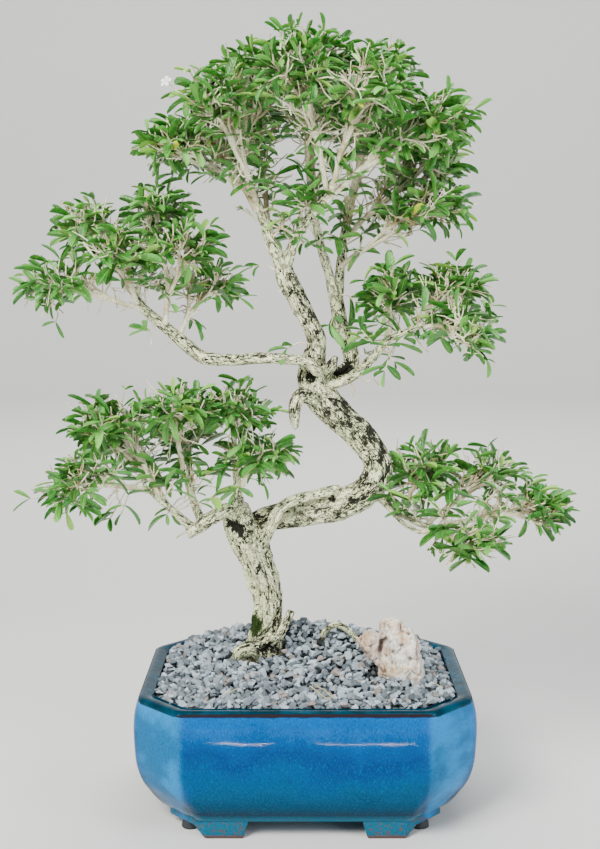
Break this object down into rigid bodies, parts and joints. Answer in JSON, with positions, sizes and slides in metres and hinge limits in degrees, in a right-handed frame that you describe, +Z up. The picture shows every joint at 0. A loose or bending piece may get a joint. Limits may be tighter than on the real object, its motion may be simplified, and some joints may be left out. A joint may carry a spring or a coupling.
{
  "type": "serissa bonsai in a glazed pot",
  "caption": "Small flowering bonsai tree with an S-shaped trunk and layered leaf pads, in a blue glazed pot with cut corners, gravel and a stone.",
  "frame": {"origin": "on the surface that the pot stands on, under the middle of the whole object's box", "axes": "+Z is up along the tree, -Y is the front of the pot that the picture shows, +X is to the right"},
  "size_m": [0.4317, 0.198, 0.6137],
  "materials": {
    "glaze": "gloss",
    "pads": "matte",
    "soil": "rough",
    "gravel": "rough",
    "rock": "rough",
    "bark": "rough",
    "foliage": "semi-gloss",
    "petals": "satin"
  },
  "bodies": {
    "root": {"pot": "glaze", "foot_pad_1": "pads", "foot_pad_2": "pads", "foot_pad_3": "pads", "foot_pad_4": "pads", "soil": "soil", "gravel": "gravel", "stone": "rock", "trunk": "bark", "spray_top_1": "foliage", "spray_top_2": "foliage", "spray_top_3": "foliage", "spray_top_4": "foliage", "spray_top_5": "foliage", "spray_top_6": "foliage", "spray_top_7": "foliage", "spray_top_8": "foliage", "spray_top_9": "foliage", "spray_top_10": "foliage", "spray_top_11": "foliage", "spray_top_12": "foliage", "spray_top_13": "foliage", "spray_top_14": "foliage", "spray_left_1": "foliage", "spray_left_2": "foliage", "spray_left_3": "foliage", "spray_left_4": "foliage", "spray_left_5": "foliage", "spray_left_6": "foliage", "spray_right_1": "foliage", "spray_right_2": "foliage", "spray_right_3": "foliage", "spray_low_left_1": "foliage", "spray_low_left_2": "foliage", "spray_low_left_3": "foliage", "spray_low_left_4": "foliage", "spray_low_left_5": "foliage", "spray_low_left_6": "foliage", "spray_low_left_7": "foliage", "spray_low_right_1": "foliage", "spray_low_right_2": "foliage", "spray_low_right_3": "foliage", "spray_low_right_4": "foliage", "flower": "petals", "bud": "petals"}
  },
  "joints": []
}
